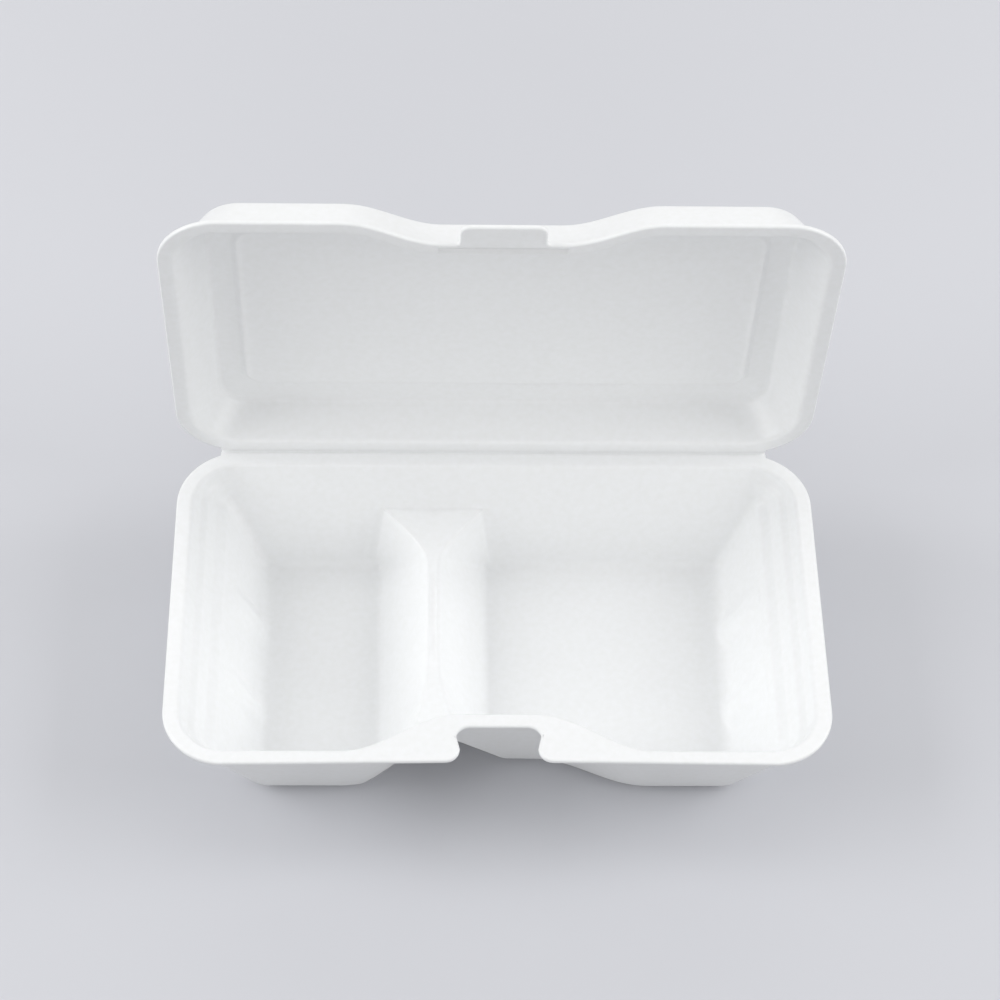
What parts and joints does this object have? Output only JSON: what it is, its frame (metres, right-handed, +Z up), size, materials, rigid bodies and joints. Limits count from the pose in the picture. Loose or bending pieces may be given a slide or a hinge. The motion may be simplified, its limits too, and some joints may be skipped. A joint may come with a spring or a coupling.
{
  "type": "foam clamshell food container",
  "caption": "Hinged foam takeaway container, open: a divided tray with a small and a large pocket, a shallow domed lid, a notch in the front flange and a lock tab on the lid.",
  "frame": {"origin": "under the middle of the whole open object's box, on the table", "axes": "+X along the fold to the right as seen from the front, +Y from the front edge to the fold, +Z up"},
  "size_m": [0.24, 0.1563, 0.1874],
  "materials": {
    "foam": "smooth fine-celled white foam with a slight satin skin"
  },
  "bodies": {
    "tray": {"tray": "foam"},
    "lid": {"lid": "foam"}
  },
  "joints": [
    {"name": "lid_fold", "type": "hinge", "parent": "tray", "child": "lid", "pos_m": [0, 0.0613, 0.04815], "axis": [1, 0, 0], "range_deg": [-94.5, 85.5]}
  ]
}
